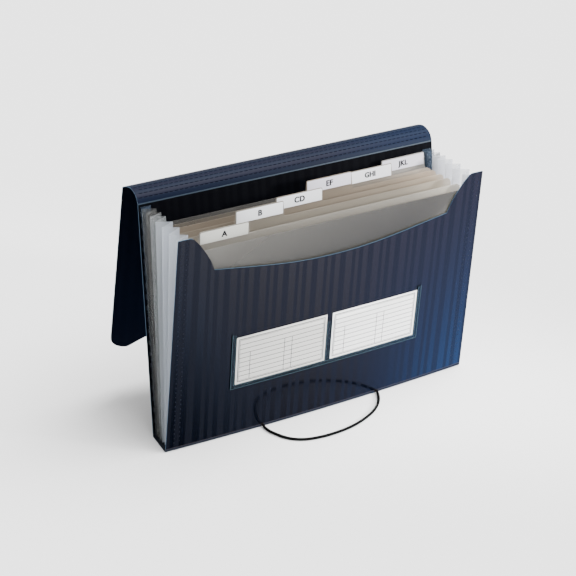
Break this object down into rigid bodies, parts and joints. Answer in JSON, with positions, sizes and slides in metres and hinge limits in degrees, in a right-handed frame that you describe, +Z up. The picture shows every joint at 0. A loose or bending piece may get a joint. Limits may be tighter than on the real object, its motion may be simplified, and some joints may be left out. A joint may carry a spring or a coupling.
{
  "type": "expanding file folder",
  "caption": "Expanding file of navy plastic sheet with translucent lettered dividers and side gussets, arched top strip, flap folded back, label pocket and an elastic loop.",
  "frame": {"origin": "middle of the base strip's underside, on the surface it stands on", "axes": "+X to the right along the front panel, +Y from the front panel to the back, +Z up"},
  "size_m": [0.337, 0.1783, 0.2367],
  "materials": {
    "cover_sheet": "navy polypropylene sheet, glossy and matt stripes",
    "cover_inside": "inner face of the navy polypropylene sheet",
    "clear_sheet": "frosted translucent polypropylene",
    "gusset_film": "frosted translucent polypropylene film",
    "label_paper": "printed index card, matt",
    "pocket_film": "clear glossy film",
    "cord": "woven black elastic cord",
    "barb": "plain metal barb"
  },
  "bodies": {
    "base": {"base_strip": "cover_sheet", "gusset_left": "gusset_film", "gusset_right": "gusset_film", "elastic_cord": "cord", "cord_barb_left": "barb", "cord_barb_right": "barb"},
    "front": {"front_panel": "cover_sheet", "front_liner": "clear_sheet", "label_pocket": "pocket_film", "label_card_left": "label_paper", "label_card_right": "label_paper"},
    "back": {"back_panel": "cover_sheet"},
    "strip": {"top_strip": "cover_inside"},
    "flap": {"flap": "cover_sheet"},
    "divider_a": {"divider_a": "clear_sheet", "tab_label_a": "label_paper"},
    "divider_b": {"divider_b": "clear_sheet", "tab_label_b": "label_paper"},
    "divider_cd": {"divider_cd": "clear_sheet", "tab_label_cd": "label_paper"},
    "divider_ef": {"divider_ef": "clear_sheet", "tab_label_ef": "label_paper"},
    "divider_ghi": {"divider_ghi": "clear_sheet", "tab_label_ghi": "label_paper"},
    "divider_jkl": {"divider_jkl": "clear_sheet", "tab_label_jkl": "label_paper"}
  },
  "joints": [
    {"name": "front_fan", "type": "hinge", "parent": "base", "child": "front", "pos_m": [0, -0.0175, 0.00335], "axis": [1, 0, 0], "range_deg": [-5.8, 6], "deforming": ["gusset_left", "gusset_right"]},
    {"name": "back_fan", "type": "hinge", "parent": "base", "child": "back", "pos_m": [0, 0.01515, 0.00335], "axis": [1, 0, 0], "range_deg": [-7.05, 6.82]},
    {"name": "strip_crease", "type": "hinge", "parent": "back", "child": "strip", "pos_m": [0, 0.04203, 0.22545], "axis": [1, 0, 0], "range_deg": [-8, 120]},
    {"name": "flap_crease", "type": "hinge", "parent": "strip", "child": "flap", "pos_m": [0, 0.07203, 0.23155], "axis": [1, 0, 0], "range_deg": [-5, 156]},
    {"name": "divider_a_fan", "type": "hinge", "parent": "base", "child": "divider_a", "pos_m": [0, -0.01107, 0.001], "axis": [1, 0, 0], "range_deg": [-4.2, 4.34]},
    {"name": "divider_b_fan", "type": "hinge", "parent": "base", "child": "divider_b", "pos_m": [0, -0.00664, 0.001], "axis": [1, 0, 0], "range_deg": [-1.22, 1.26]},
    {"name": "divider_cd_fan", "type": "hinge", "parent": "base", "child": "divider_cd", "pos_m": [0, -0.00221, 0.001], "axis": [1, 0, 0], "range_deg": [-0.85, 0.82]},
    {"name": "divider_ef_fan", "type": "hinge", "parent": "base", "child": "divider_ef", "pos_m": [0, 0.00221, 0.001], "axis": [1, 0, 0], "range_deg": [-3.12, 3.02]},
    {"name": "divider_ghi_fan", "type": "hinge", "parent": "base", "child": "divider_ghi", "pos_m": [0, 0.00664, 0.001], "axis": [1, 0, 0], "range_deg": [-4.26, 4.12]},
    {"name": "divider_jkl_fan", "type": "hinge", "parent": "base", "child": "divider_jkl", "pos_m": [0, 0.01107, 0.001], "axis": [1, 0, 0], "range_deg": [-5.5, 5.32]}
  ],
  "couplings": [
    {"joint": "back_fan", "follows": "front_fan", "ratio": -1.1724},
    {"joint": "divider_a_fan", "follows": "front_fan", "ratio": 0.72069},
    {"joint": "divider_b_fan", "follows": "front_fan", "ratio": 0.2069},
    {"joint": "divider_cd_fan", "follows": "front_fan", "ratio": -0.13793},
    {"joint": "divider_ef_fan", "follows": "front_fan", "ratio": -0.51724},
    {"joint": "divider_ghi_fan", "follows": "front_fan", "ratio": -0.7069},
    {"joint": "divider_jkl_fan", "follows": "front_fan", "ratio": -0.91379}
  ]
}
